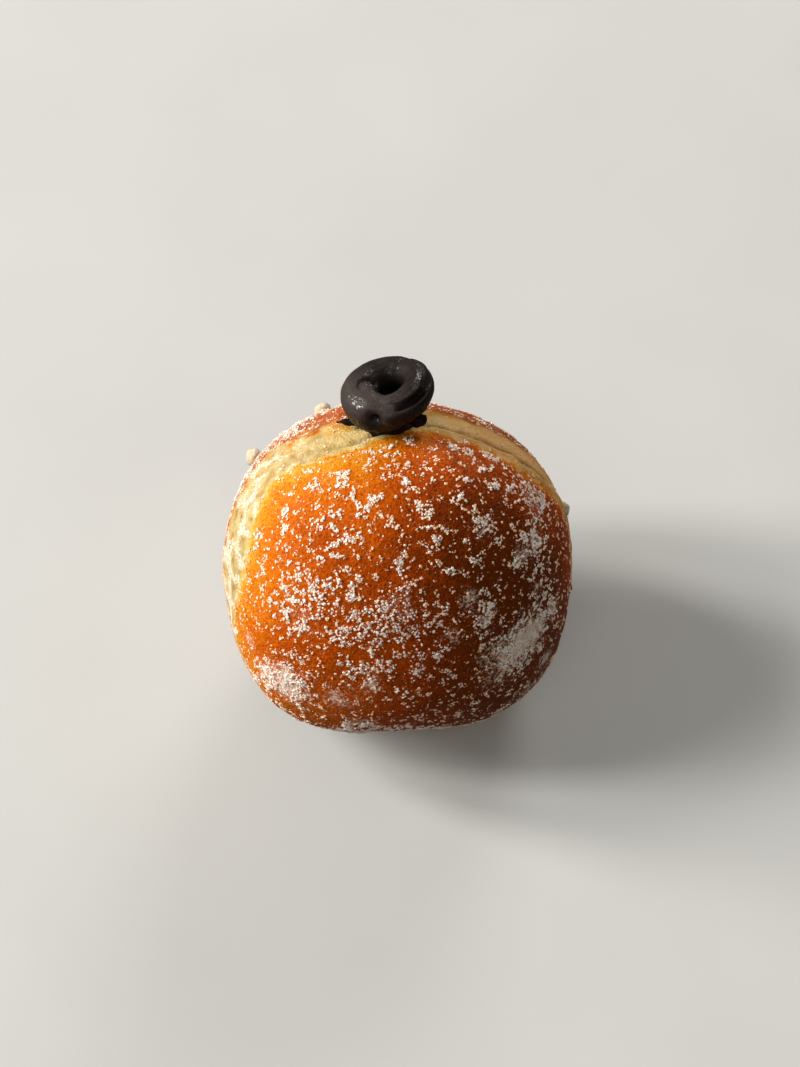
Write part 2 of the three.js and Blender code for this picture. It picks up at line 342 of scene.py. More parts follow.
def colour_ramp(tree, value, stops):
    output = add_node(tree, "ShaderNodeValToRGB", {0: value})
    ramp = output.node.color_ramp
    while len(ramp.elements) < len(stops):
        ramp.elements.new(1)
    for element, (position, colour) in zip(ramp.elements, stops):
        element.position = position
        element.color = (*colour, 1)
    return output


def bump(tree, height, depth, under=None):
    inputs = {"Height": height, "Distance": depth, "Strength": 1.0}
    if under is not None:
        inputs["Normal"] = under
    return add_node(tree, "ShaderNodeBump", inputs)


def veins(tree, size, sway, width):
    """A net of fine lines, as wrinkled skin shows, its cells about as large as the size."""
    wander = add_node(tree, "ShaderNodeTexNoise", {
        "Vector": place_on_object(tree), "Scale": 0.5 / size, "Detail": 2.0}, 1)
    wander = add_node(tree, "ShaderNodeVectorMath", {0: wander, 1: (0.5, 0.5, 0.5)}, operation="SUBTRACT")
    place = add_node(tree, "ShaderNodeVectorMath", {
        0: wander, 1: (sway, sway, sway), 2: place_on_object(tree)}, operation="MULTIPLY_ADD")
    edges = add_node(tree, "ShaderNodeTexVoronoi", {
        "Vector": place, "Scale": 1 / size, "Randomness": 1.0}, feature="DISTANCE_TO_EDGE")
    return spread_out(tree, edges, 0.0, width, 1.0, 0.0)


# Fried dough: cream on the band, then yellow, gold, orange and brown as the frying goes deeper,
# with painted shade that browns the front crust further towards the right and the bottom, a net of
# paler wrinkles that is partly their own colour and partly painted highlight on their ridges,
# mottled where the oil bubbled, a film of sugar dust in places and a satin skin of oil
CREAM = (0.64, 0.49, 0.22)
STRAW = (0.62, 0.40, 0.10)
GOLD = (0.66, 0.28, 0.016)
AMBER = (0.63, 0.150, 0.002)
DEEP_AMBER = (0.50, 0.076, 0.001)
CHESTNUT = (0.31, 0.038, 0.0008)
UMBER = (0.135, 0.024, 0.0015)
TAN = (0.76, 0.41, 0.15)
LEFT_LIGHT = (0.58, 0.44, 0.20)
LEFT_CREAM = (0.45, 0.33, 0.135)
LEFT_SHADE = (0.31, 0.19, 0.055)
BACK_BLUSH = (0.38, 0.095, 0.035)
BACK_BROWN = (0.22, 0.032, 0.008)
GROOVE_SHADE = (0.18, 0.10, 0.025)
CREASE_SHADE = (0.20, 0.033, 0.003)
DUST = (0.95, 0.82, 0.70)

crust, tree, surface = new_material("fried_dough")
coarse = cloudy(tree, 9 * MM, 3, seed=1)
medium = cloudy(tree, 2.6 * MM, 4, seed=2)
fine = cloudy(tree, 0.7 * MM, 3, seed=3)
net = veins(tree, 0.9 * MM, 1.6 * MM, 0.22)
net = sums(tree, "MULTIPLY", net, spread_out(tree, medium, 0.30, 0.55, 0.2, 1.0))
wrinkles = add_node(tree, "ShaderNodeTexVoronoi", {
    "Vector": place_on_object(tree), "Scale": 1 / (1.1 * MM), "Randomness": 1.0},
    feature="SMOOTH_F1")
edge_sway = sums(tree, "MULTIPLY_ADD", mesh_value(tree, "fading"), 3.5, 2.0)
front_depth = swayed(tree, mesh_value(tree, "past_front"), medium, edge_sway)
front_depth = swayed(tree, front_depth, fine, 1.0)
back_sway = sums(tree, "MULTIPLY_ADD", mesh_value(tree, "rightness"), -8.0, 11.0)
back_depth = swayed(tree, mesh_value(tree, "past_back"), cloudy(tree, 4 * MM, 4, seed=4), back_sway)
back_depth = swayed(tree, back_depth, fine, 2.0)
fade_width = sums(tree, "MULTIPLY_ADD", mesh_value(tree, "fading"), 3.6, 0.8)
fade_start = sums(tree, "MULTIPLY", fade_width, -0.45)
front_fry = spread_out(tree, front_depth, fade_start, fade_width)
back_fry = spread_out(tree, back_depth, -3.0, 3.0)
fry = sums(tree, "MAXIMUM", front_fry, back_fry)
fry = sums(tree, "MULTIPLY", fry, 0.37)
fry = sums(tree, "ADD", fry, spread_out(tree, mesh_value(tree, "past_front"), 0, 6, 0.0, 0.15))
fry = sums(tree, "ADD", fry, spread_out(tree, mesh_value(tree, "past_front"), 3, 22, 0.0, 0.27))
fry = sums(tree, "ADD", fry, spread_out(tree, mesh_value(tree, "past_back"), 1, 18, 0.0, 0.25))
# Painted shade: the fried front crust is made darker towards the right and the bottom, the sides turned away
# from the key light
painted_shade_side = sums(tree, "MULTIPLY", mesh_value(tree, "rightness"), front_fry)
fry = sums(tree, "MULTIPLY_ADD", painted_shade_side, 0.34, fry)
painted_shade_side = sums(tree, "MULTIPLY", mesh_value(tree, "lowness"), front_fry)
fry = sums(tree, "MULTIPLY_ADD", painted_shade_side, 0.24, fry)
fry = swayed(tree, fry, coarse, 0.26)
fry = swayed(tree, fry, medium, 0.28)
fry = swayed(tree, fry, wrinkles, -0.14)
# The net of wrinkles is made paler: partly the skin's own colour, partly painted highlight where the
# wrinkles' ridges catch the light
fry = sums(tree, "MULTIPLY_ADD", sums(tree, "MULTIPLY", net, front_fry), -0.20, fry)
golden = sums(tree, "MULTIPLY", mesh_value(tree, "leftness"), spread_out(tree, medium, 0.42, 0.62))
fry = sums(tree, "MULTIPLY_ADD", golden, 0.16, fry)
edge_line = sums(tree, "ABSOLUTE", sums(tree, "SUBTRACT", front_depth, 0.6))
edge_line = spread_out(tree, edge_line, 0.1, 0.7, 0.14, 0.0)
not_fading = spread_out(tree, mesh_value(tree, "fading"), 0.1, 0.6, 1.0, 0.0)
edge_line = sums(tree, "MULTIPLY", edge_line, not_fading)
fry = sums(tree, "ADD", fry, edge_line)
dough = colour_ramp(tree, fry, [
    (0.0, CREAM), (0.14, STRAW), (0.30, GOLD), (0.47, AMBER), (0.66, DEEP_AMBER), (0.84, CHESTNUT),
    (1.0, UMBER)])
bare_band = spread_out(tree, fry, 0.42, 0.10, 0.0, 0.85)
bare_band = sums(tree, "MULTIPLY", bare_band, mesh_value(tree, "rightness"))
dough = blend_colours(tree, bare_band, dough, (*TAN, 1))
left_band = spread_out(tree, fry, 0.46, 0.16, 0.0, 0.95)
left_band = sums(tree, "MULTIPLY", left_band, mesh_value(tree, "leftness"))
left_tone = colour_ramp(tree, cloudy(tree, 3.0 * MM, 4, seed=14), [
    (0.34, LEFT_SHADE), (0.48, LEFT_CREAM), (0.64, LEFT_LIGHT)])
dough = blend_colours(tree, left_band, dough, left_tone)
back_tone = colour_ramp(tree, cloudy(tree, 3.2 * MM, 4, seed=12), [(0.38, BACK_BROWN), (0.60, BACK_BLUSH)])
blush = spread_out(tree, back_depth, -1.5, 4.0, 0.0, 0.85)
dough = blend_colours(tree, blush, dough, back_tone)
shadowed = sums(tree, "MULTIPLY", mesh_value(tree, "groove"), 0.6)
dough = blend_colours(tree, shadowed, dough, (*GROOVE_SHADE, 1))
# Painted shade: a thin dark line along the fine crease, where the fold is shaded
painted_crease_shade = sums(tree, "ABSOLUTE", mesh_value(tree, "beside_crease"))
painted_crease_shade = spread_out(tree, painted_crease_shade, 0.05, 0.26, 1.0, 0.0)
painted_crease_shade = sums(tree, "MULTIPLY", painted_crease_shade, mesh_value(tree, "crease_share"))
dough = blend_colours(tree, painted_crease_shade, dough, (*CREASE_SHADE, 1))
film = swayed(tree, mesh_value(tree, "dust"), cloudy(tree, 0.8 * MM, 4, 0.7, seed=5), 1.9)
film = spread_out(tree, film, 0.34, 0.84, 0.0, 0.85)
dough = blend_colours(tree, film, dough, (*DUST, 1))
tree.links.new(dough, surface.inputs["Base Color"])
tree.links.new(spread_out(tree, medium, 0.3, 0.7, 0.44, 0.60), surface.inputs["Roughness"])
skin = bump(tree, wrinkles, 0.14 * MM)
skin = bump(tree, net, 0.07 * MM, skin)
skin = bump(tree, fine, 0.16 * MM, skin)
tree.links.new(skin, surface.inputs["Normal"])
surface.inputs["Subsurface Weight"].default_value = 0.10
surface.inputs["Subsurface Radius"].default_value = (1.0, 0.3, 0.05)
surface.inputs["Subsurface Scale"].default_value = 1.5 * MM
surface.inputs["Specular IOR Level"].default_value = 0.12
surface.inputs["Specular Tint"].default_value = (1.0, 0.62, 0.25, 1)
bun.data.materials.append(crust)
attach(bun, "root")
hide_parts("bun")


# The curl of filling: the nozzle pulled away in a turn and a half, so a fat ring sits on the
# filling hole with a flatter turn pressed on it that ends in a nub. It is smooth, dark and wet,
# and its neck and pocket run on into the bun.
CURL_ANGLE = 85
CURL_PLACE = 2 * MM
CURL_TILT_BACK = math.radians(16)
CURL_TILT_LEFT = math.radians(13)
CURL_LIFT = 9.8 * MM
RING_RADIUS = 7.0 * MM
RING_OUTER = 4.1 * MM
RING_INNER = 3.7 * MM
RING_TOP = 4.1 * MM
RING_BOTTOM = 5.5 * MM
RING_SAG_ANGLE = math.radians(-25)
TURN_START = math.radians(95)
TURN_SWEEP = math.radians(256)
NECK_RADIUS = 4.2 * MM
POCKET_RADIUS = 8 * MM
POCKET_DEPTH = 36 * MM
CURL_VOXEL = 0.22 * MM

curl_latitude = math.asin((CURL_PLACE / BUN_HALF_THICKNESS) ** (BUN_SQUARENESS / 2))
curl_foot = crust_place(CURL_ANGLE, math.degrees(curl_latitude))
curl_up = Vector((
    -math.sin(CURL_TILT_LEFT), math.sin(CURL_TILT_BACK), math.cos(CURL_TILT_BACK))).normalized()
curl_right = (Vector((1, 0, 0)) - curl_up * curl_up.x).normalized()
curl_back = curl_up.cross(curl_right)
curl_frame = Matrix((curl_right, curl_back, curl_up)).transposed().to_4x4()
curl_frame.translation = curl_foot + curl_up * CURL_LIFT


def blend_values(shares, values, share):
    """The value at a share of the way, between the values at a few shares, with soft corners."""
    for first, second, low, high in zip(shares, shares[1:], values, values[1:]):
        if share <= second:
            part = min(max((share - first) / (second - first), 0), 1)
            return low + (high - low) * part * part * (3 - 2 * part)
    return values[-1]


def lower_turn(shape):
    """A fat ring, wide at both sides, its hole off to the right, pressed down under the next turn."""
    ring = bmesh.ops.create_circle(
        shape, segments=32, radius=1,
        matrix=Matrix.Translation((2, 0, 0)) @ Matrix.Rotation(math.pi / 2, 4, "X"))
    edges = list({edge for vertex in ring["verts"] for edge in vertex.link_edges})
    bmesh.ops.spin(shape, geom=ring["verts"] + edges, cent=(0, 0, 0), axis=(0, 0, 1),
                   angle=2 * math.pi, steps=64, use_merge=True)
    for vertex in shape.verts:
        turn = math.atan2(vertex.co.y, vertex.co.x)
        behind = max(math.sin(turn), 0)
        aside = math.hypot(vertex.co.x, vertex.co.y) - 2
        if aside > 0:
            aside *= RING_OUTER * (1 + 0.08 * math.cos(turn) ** 2 - 0.04 * behind)
        else:
            aside *= RING_INNER * (1 - 0.35 * math.cos(turn))
        pressed = max(math.cos(turn - RING_SAG_ANGLE), 0)
        above = RING_TOP * (1 - 0.48 * pressed - 0.07 * behind)
        below = RING_BOTTOM * (1 - 0.11 * math.cos(turn))
        depth = below if vertex.co.z < 0 else above
        fuller = 1 - 0.08 * math.cos(turn)
        radius = RING_RADIUS + aside
        vertex.co = (radius * math.cos(turn), radius * math.sin(turn), vertex.co.z * fuller * depth)


# The upper turn along its length: share of the way, distance from the ring's middle line, height,
# half width and half height in millimetres
TURN_SHARES = (0, 0.3, 0.5, 0.65, 0.8, 1)
TURN_RADII = (6.7, 7.7, 7.4, 7.2, 6.9, 3.9)
TURN_HEIGHTS = (0.0, 1.6, 2.1, 2.1, 2.0, 2.9)
TURN_HALF_WIDTHS = (2.6, 3.2, 2.5, 2.1, 1.9, 1.9)
TURN_HALF_HEIGHTS = (2.4, 2.5, 2.2, 1.8, 1.7, 1.7)


def along_turn(values, share):
    return blend_values(TURN_SHARES, values, share) * MM


def upper_place(share):
    """Middle of the upper turn: it leaves the ring at the back and ends in the middle at the left."""
    turn = TURN_START - TURN_SWEEP * share
    radius = along_turn(TURN_RADII, share)
    return Vector((radius * math.cos(turn), radius * math.sin(turn), along_turn(TURN_HEIGHTS, share)))


def upper_turn(shape):
    """A flattened rope bent along its curve, made from a sphere drawn out to two round ends."""
    ball = bmesh.ops.create_uvsphere(shape, u_segments=24, v_segments=80, radius=1)
    cap = 0.07
    for vertex in ball["verts"]:
        share = (vertex.co.z + 1) / 2
        past_cap = max(abs(vertex.co.z) - (1 - cap), 0) / cap
        thinner = math.sqrt(max(1 - past_cap**2, 0))
        round_share = max(math.hypot(vertex.co.x, vertex.co.y), 1e-9)
        ahead = (upper_place(share + 0.01) - upper_place(share - 0.01)).normalized()
        outwards = Vector((0, 0, 1)).cross(ahead).normalized()
        upwards = ahead.cross(outwards)
        spread = outwards * vertex.co.x * along_turn(TURN_HALF_WIDTHS, share)
        spread += upwards * vertex.co.y * along_turn(TURN_HALF_HEIGHTS, share)
        vertex.co = upper_place(share) + spread / round_share * thinner


def foot_and_smears(shape):
    """The foot that spreads on the crust, a thin tail at the left and a blob at the right."""
    bmesh.ops.create_icosphere(
        shape, subdivisions=4, radius=6.2 * MM,
        matrix=Matrix.Translation((-1.2 * MM, -0.6 * MM, -6.6 * MM)) @ Matrix.Diagonal((1.12, 1.05, 0.8, 1)))
    bmesh.ops.create_cone(
        shape, cap_ends=True, segments=24, radius1=1.5 * MM, radius2=0.4 * MM, depth=8 * MM,
        matrix=Matrix.Translation((-9.9 * MM, -2 * MM, -5.7 * MM))
        @ Matrix.Rotation(math.radians(-82), 4, "Y"))
    bmesh.ops.create_icosphere(
        shape, subdivisions=3, radius=1.8 * MM,
        matrix=Matrix.Translation((6.2 * MM, -4.4 * MM, -6.8 * MM)) @ Matrix.Diagonal((1.2, 0.9, 1.0, 1)))


def neck_and_pocket(shape):
    """The neck through the filling hole and the pocket in the bun, turned round one line."""
    outline = [
        (0, -6 * MM), (NECK_RADIUS * 0.7, -5 * MM), (NECK_RADIUS, 0), (NECK_RADIUS * 0.95, 9 * MM),
        (POCKET_RADIUS * 0.85, 17.3 * MM), (POCKET_RADIUS, 25.2 * MM), (POCKET_RADIUS * 0.7, 33.1 * MM),
        (0, POCKET_DEPTH),
    ]
    verts = [shape.verts.new((radius, 0, depth)) for radius, depth in outline]
    edges = [shape.edges.new(pair) for pair in zip(verts, verts[1:])]
    bmesh.ops.spin(shape, geom=verts + edges, cent=(0, 0, 0), axis=(0, 0, 1),
                   angle=2 * math.pi, steps=32, use_merge=True)
    inwards = (bun_middle - curl_foot).normalized()
    stand = Vector((0, 0, 1)).rotation_difference(inwards).to_matrix().to_4x4()
    stand.translation = curl_foot
    bmesh.ops.transform(shape, matrix=stand, verts=shape.verts[:])


shape = bmesh.new()
neck_and_pocket(shape)
neck_mesh = bpy.data.meshes.new("neck")
shape.to_mesh(neck_mesh)
shape.clear()
lower_turn(shape)
upper_turn(shape)
foot_and_smears(shape)
bmesh.ops.transform(shape, matrix=curl_frame, verts=shape.verts[:])
shape.from_mesh(neck_mesh)
bpy.data.meshes.remove(neck_mesh)
bmesh.ops.remove_doubles(shape, verts=shape.verts[:], dist=0.001 * MM)
bmesh.ops.recalc_face_normals(shape, faces=shape.faces[:])
filling = to_object(shape, "filling_curl")
remesh = filling.modifiers.new("one_mass", "REMESH")
remesh.mode = "VOXEL"
remesh.voxel_size = CURL_VOXEL
remesh.use_smooth_shade = True
graph = bpy.context.evaluated_depsgraph_get()
one_mass = bpy.data.meshes.new_from_object(filling.evaluated_get(graph))
filling.modifiers.clear()
filling.data = one_mass

# Sculpted on the joined mass: the slit that is left under the upper turn's sharp lip, the groove
# that curls round the nub, a dimple in front, faint lines that the nozzle drew, and a ragged rim
# where it meets the bun
SLIT_RADIUS = 10.1 * MM
SLIT_HEIGHT = 1.6 * MM
SLIT_WIDTH = 0.6 * MM
SLIT_DEPTH = 1.7 * MM
SLIT_START = math.radians(-78)
SLIT_END = math.radians(-22)
NUB_PLACE = Vector((-3.3, -1.2, 3.6)) * MM
NUB_GROOVE_RADIUS = 2.5 * MM
NUB_GROOVE_WIDTH = 0.7 * MM
NUB_GROOVE_DEPTH = 0.8 * MM
LIP_RADIUS = 9.5 * MM
LIP_LEVEL = 3.2 * MM
LIP_WIDTH = 0.55 * MM
LIP_HEIGHT = 0.5 * MM
DIMPLE_PLACE = Vector((-3.0, -10.2, 0.2)) * MM
DIMPLE_RADIUS = 1.8 * MM
DIMPLE_DEPTH = 2.6 * MM
NOZZLE_LINE = 1.1 * MM

shape = bmesh.new()
shape.from_mesh(filling.data)
for _ in range(3):
    bmesh.ops.smooth_vert(shape, verts=shape.verts[:], factor=0.5,
                          use_axis_x=True, use_axis_y=True, use_axis_z=True)
shape.to_mesh(filling.data)
shape.free()
places = mesh_places(filling.data)
to_curl = np.array(curl_frame.inverted())
in_curl = places @ to_curl[:3, :3].T + to_curl[:3, 3]
turn = np.arctan2(in_curl[:, 1], in_curl[:, 0])
out = np.hypot(in_curl[:, 0], in_curl[:, 1])
above_foot = soft_step(in_curl[:, 2], -4 * MM, -2 * MM)
along_slit = soft_step(turn, SLIT_START, SLIT_START + 0.2) * soft_step(turn, SLIT_END, SLIT_END - 0.12)
slit = hump(np.hypot(out - SLIT_RADIUS, in_curl[:, 2] - SLIT_HEIGHT), SLIT_WIDTH) * along_slit
lip = hump(np.hypot(out - LIP_RADIUS, in_curl[:, 2] - LIP_LEVEL), LIP_WIDTH) * along_slit
from_nub = in_curl - np.array(NUB_PLACE)
nub_groove = hump(np.hypot(from_nub[:, 0], from_nub[:, 1]) - NUB_GROOVE_RADIUS, NUB_GROOVE_WIDTH)
nub_groove *= soft_step(in_curl[:, 2], 1 * MM, 2 * MM)
nub_groove *= soft_step(from_nub[:, 1] - 0.8 * from_nub[:, 0], -1.5 * MM, 1.5 * MM)
dimple = hump(np.linalg.norm(in_curl - np.array(DIMPLE_PLACE), axis=1), DIMPLE_RADIUS)
lines = np.sin((out + 0.5 * MM * turn) * 2 * math.pi / NOZZLE_LINE) * above_foot
lines *= 0.5 + 0.5 * smooth_noise(places, 5 * MM, 21)
ragged = smooth_noise(places, 1.6 * MM, 22) * (1 - above_foot)
# Painted light: a lighter grey tone on the front left of the curl, the side that faces the lamps, fading out
# towards the foot
towards_front_left = -0.75 * in_curl[:, 0] - 0.65 * in_curl[:, 1]
painted_light_front_left = soft_step(towards_front_left, -3 * MM, 7 * MM) * soft_step(in_curl[:, 2], -2 * MM, 2 * MM)
add_attribute(filling.data, "painted_light_front_left", painted_light_front_left)
# Painted shade: the foot under the curl and the dimple in front are made almost black, where shade falls;
# the foot also gets no wet skin
foot = soft_step(in_curl[:, 2] - 0.12 * in_curl[:, 0], 1.0 * MM, -3.5 * MM)
add_attribute(filling.data, "foot", np.maximum(foot * (1 - 0.4 * painted_light_front_left), dimple))
relief = 0.10 * MM * smooth_noise(places, 3 * MM, 23) + 0.05 * MM * lines + 0.45 * MM * ragged
relief += LIP_HEIGHT * lip
relief -= SLIT_DEPTH * slit + DIMPLE_DEPTH * dimple + NUB_GROOVE_DEPTH * nub_groove
place_mesh(filling.data, places + mesh_normals(filling.data) * relief[:, None])

# Dark filling: almost black brown, with painted light that greys its front left, the side that faces
# the lamps, painted shade that makes its foot and the dimple almost black, and a thin wet skin whose small
# bumps glint
jam, tree, surface = new_material("dark_filling")
# painted light greys the front left
tone = swayed(tree, mesh_value(tree, "painted_light_front_left"), cloudy(tree, 3 * MM, 4, seed=6), 0.7)
jam_colour = colour_ramp(tree, tone, [
    (0.0, (0.013, 0.009, 0.007)), (0.5, (0.026, 0.019, 0.016)), (1.0, (0.044, 0.033, 0.028))])
# painted shade: the foot and the dimple turn almost black
jam_colour = blend_colours(tree, mesh_value(tree, "foot"), jam_colour, (0.006, 0.003, 0.002, 1))
tree.links.new(jam_colour, surface.inputs["Base Color"])
jam_gloss = spread_out(tree, cloudy(tree, 1.6 * MM, 4, seed=7), 0.3, 0.7, 0.36, 0.54)
tree.links.new(jam_gloss, surface.inputs["Roughness"])
wet = bump(tree, cloudy(tree, 1.3 * MM, 3, seed=8), 0.18 * MM)
wet = bump(tree, cloudy(tree, 0.4 * MM, 2, seed=9), 0.16 * MM, wet)
tree.links.new(wet, surface.inputs["Normal"])
glints = bump(tree, cloudy(tree, 0.9 * MM, 2, seed=13), 0.22 * MM)
tree.links.new(glints, surface.inputs["Coat Normal"])
wet_places = spread_out(tree, cloudy(tree, 1.3 * MM, 2, seed=15), 0.50, 0.62, 0.02, 0.60)
dry_foot = sums(tree, "SUBTRACT", 1.0, mesh_value(tree, "foot"))
tree.links.new(sums(tree, "MULTIPLY", wet_places, dry_foot), surface.inputs["Coat Weight"])
surface.inputs["Specular IOR Level"].default_value = 0.10
surface.inputs["Coat Roughness"].default_value = 0.06
filling.data.materials.append(jam)
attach(filling, "root")
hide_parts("filling")


# Camera: a longish lens looking steeply down, level with the doughnut's browned front face
PHOTO_WIDTH = 800
PHOTO_HEIGHT = 1067
CAMERA_ELEVATION = math.radians(58.5)
CAMERA_DISTANCE = 540 * MM
LENS_MM = 72.67
SENSOR_MM = 36
MIDDLE_RIGHT = 396.8
MIDDLE_DOWN = 568.8

to_camera = Vector((0, -math.cos(CAMERA_ELEVATION), math.sin(CAMERA_ELEVATION)))
photo_up = Vector((0, math.sin(CAMERA_ELEVATION), math.cos(CAMERA_ELEVATION)))
photo_right = Vector((1, 0, 0))
focal_pixels = LENS_MM / SENSOR_MM * PHOTO_HEIGHT
pixel = CAMERA_DISTANCE / focal_pixels
lens = bpy.data.cameras.new("camera")
lens.sensor_width = SENSOR_MM
lens.lens = LENS_MM
lens.clip_start = 10 * MM
camera = bpy.data.objects.new("camera", lens)
bpy.context.collection.objects.link(camera)
camera.matrix_world = Matrix((photo_right, photo_up, to_camera)).transposed().to_4x4()
camera.location = bun_middle + to_camera * CAMERA_DISTANCE
camera.location += photo_right * (PHOTO_WIDTH / 2 - MIDDLE_RIGHT) * pixel
camera.location += photo_up * (MIDDLE_DOWN - PHOTO_HEIGHT / 2) * pixel
bpy.context.scene.camera = camera


# The sugar: fine crystals that stick in thin lacy clusters where the crust was still oily when it
# was rolled, broken bits between them, and dust. The biggest clumps lie where they show, as right
# and down in the photo's pixels, and radius in millimetres.
BIG_CLUSTERS = [
    (364, 449, 2.0), (393, 453, 2.4), (370, 463, 1.5), (322, 462, 1.6), (345, 476, 1.8), (318, 483, 2.2),
    (339, 484, 1.4), (375, 497, 1.8), (354, 494, 1.2), (359, 510, 2.2), (351, 537, 2.6), (290, 555, 2.4),
    (322, 559, 1.8), (336, 557, 1.6), (256, 534, 1.6), (282, 513, 1.6), (285, 528, 1.5), (385, 526, 1.6),
    (326, 514, 1.2), (404, 568, 1.8), (408, 441, 1.7), (454, 446, 1.7), (471, 452, 1.3), (491, 460, 2.4),
    (481, 468, 1.3), (494, 485, 1.7), (468, 479, 1.2), (443, 479, 1.5), (409, 483, 1.5), (458, 499, 1.7),
    (414, 504, 1.6), (428, 514, 1.8), (424, 528, 1.2), (437, 540, 1.3), (463, 543, 1.8), (432, 551, 1.3),
    (402, 566, 2.4), (451, 572, 1.6), (478, 560, 2.0), (482, 526, 2.6), (288, 606, 2.4), (293, 627, 2.8),
    (318, 618, 2.6), (302, 625, 2.2), (320, 582, 2.0), (342, 637, 3.2), (376, 618, 2.6), (392, 602, 2.8),
    (400, 620, 3.2), (307, 654, 1.5), (349, 664, 2.2), (384, 667, 2.6), (402, 640, 3.2), (371, 676, 2.2),
    (397, 690, 1.8), (404, 608, 2.8), (429, 625, 2.4), (417, 633, 2.2), (448, 608, 1.8), (448, 676, 2.6),
    (423, 658, 2.6), (418, 670, 1.8), (442, 654, 2.2), (487, 608, 2.6), (485, 626, 3.2), (510, 652, 3.4),
    (533, 579, 1.8), (546, 570, 1.5), (532, 595, 1.6), (516, 562, 2.2), (534, 540, 2.8), (511, 490, 1.8),
    (530, 488, 2.4), (541, 503, 2.0), (368, 724, 2.8), (350, 727, 2.0), (392, 728, 2.2), (407, 726, 2.2),
    (424, 727, 1.6), (441, 727, 2.2), (237, 633, 1.8), (255, 676, 2.4), (276, 704, 2.6), (350, 598, 2.0),
]
CLUSTER_SHARE = 0.66

# Wider parts of the front where more sugar stuck, given in the same way, then the share covered
SUGARY_PARTS = [
    (388, 622, 11, 0.62), (300, 606, 9, 0.54), (268, 676, 6, 0.72), (291, 684, 7, 0.72), (520, 645, 9, 0.70),
    (350, 668, 5, 0.50), (330, 530, 8, 0.26), (360, 730, 7, 0.60), (405, 733, 8, 0.66), (455, 732, 8, 0.66),
    (545, 600, 6, 0.60), (534, 500, 6, 0.62), (535, 545, 7, 0.50), (258, 540, 6, 0.24), (500, 725, 7, 0.50),
    (340, 588, 7, 0.42), (432, 622, 6, 0.52), (486, 604, 5, 0.45),
]

# Frosted patches, where a fine dust of broken crystals stuck, given in the same way
DUST_PATCHES = [
    (526, 638, 7.0, 0.9), (540, 622, 4.0, 0.8), (508, 655, 9.0, 0.62), (497, 676, 4.5, 0.6),
    (551, 612, 4.0, 0.6), (286, 684, 7.0, 0.8), (266, 674, 4.0, 0.7), (372, 686, 4.0, 0.5),
    (340, 698, 6.0, 0.5), (535, 500, 5.0, 0.5), (534, 540, 4.5, 0.5), (484, 620, 4.5, 0.55),
    (470, 600, 3.5, 0.5), (524, 556, 4.0, 0.5), (320, 486, 3.0, 0.4), (484, 528, 4.0, 0.45),
    (360, 722, 4.0, 0.5), (250, 640, 3.0, 0.5), (538, 586, 3.0, 0.5), (452, 636, 4.0, 0.4),
    (545, 660, 4.0, 0.6), (528, 688, 4.0, 0.55), (400, 610, 6.0, 0.4), (300, 620, 6.0, 0.35),
]
GRAIN = 0.42 * MM
FRAGMENT = 0.31 * MM
DUST_GRAIN = 0.22 * MM
SECOND_LAYER = 0.24 * MM
TOP_LAYER = 0.22 * MM
CLEAR_OF_FLOOR = 0.7 * MM
CLEAR_OF_CURL = 0.5 * MM
CURL_REACH = 17 * MM
FRONT_STARTS = 4 * MM
MOST_CRYSTALS = 16500
MOST_FRAGMENTS = 49000
random = np.random.default_rng(7)

graph = bpy.context.evaluated_depsgraph_get()
bun_surface = BVHTree.FromObject(bun, graph)
curl_surface = BVHTree.FromObject(filling, graph)


def seen_in_photo(right, down):
    """The point of the crust that shows at a place of the photo's frame."""
    ray = photo_right * (right - PHOTO_WIDTH / 2) * pixel + photo_up * (PHOTO_HEIGHT / 2 - down) * pixel
    hit, _, _, _ = bun_surface.ray_cast(camera.location, (ray - to_camera * CAMERA_DISTANCE).normalized())
    return hit


def on_crust(point):
    hit, normal, _, _ = bun_surface.find_nearest(point)
    return hit, normal


def patches_cover(places, patches):
    """How much of the crust a list of patches covers: full in a patch's middle, soft at its rim."""
    cover = np.zeros(len(places))
    for right, down, radius, share in patches:
        middle = seen_in_photo(right, down)
        if middle is not None:
            distance = np.linalg.norm(places - np.array(middle), axis=1)
            cover = np.maximum(cover, share * hump(distance, radius * MM))
    return cover


def evenly_ranked(values):
    """Turns values into their rank from 0 to 1, so that a cut at 0.7 keeps three in ten."""
    ranks = np.empty(len(values))
    ranks[np.argsort(values)] = np.linspace(0, 1, len(values))
    return ranks


def landing_places(mesh):
    """The corners and the middles of the crust's faces, each moved aside a little."""
    corners, outwards = mesh_places(mesh), mesh_normals(mesh)
    middles = np.empty(len(mesh.polygons) * 3)
    mesh.polygons.foreach_get("center", middles)
    middle_outwards = np.empty(len(mesh.polygons) * 3)
    mesh.polygons.foreach_get("normal", middle_outwards)
    places = np.concatenate([corners, middles.reshape(-1, 3)])
    outwards = np.concatenate([outwards, middle_outwards.reshape(-1, 3)])
    aside = random.uniform(-0.2, 0.2, places.shape) * MM
    aside -= outwards * np.sum(aside * outwards, axis=1, keepdims=True)
    return places + aside, outwards


places, outwards = landing_places(bun.data)
from_middle = places - np.array(bun_middle)
place_across = from_middle @ np.array(face)
place_angle = np.arctan2(from_middle @ np.array(crown), from_middle @ np.array(side))
place_front_edge, place_back_edge = band_edges(place_angle, places)
on_front = np.clip((place_across - place_front_edge) / (3 * MM), 0, 1)
on_back = np.clip((place_back_edge - place_across) / (3 * MM), 0, 1)
on_band = 1 - np.maximum(on_front, on_back)
low = 0.5 - 0.5 * np.sin(place_angle)
left = 0.5 - 0.5 * np.cos(place_angle)
patchy = smooth_noise(places, 9 * MM, 11)
streaky = soft_step(smooth_noise(places, 3.5 * MM, 17), -0.30, 0.30)

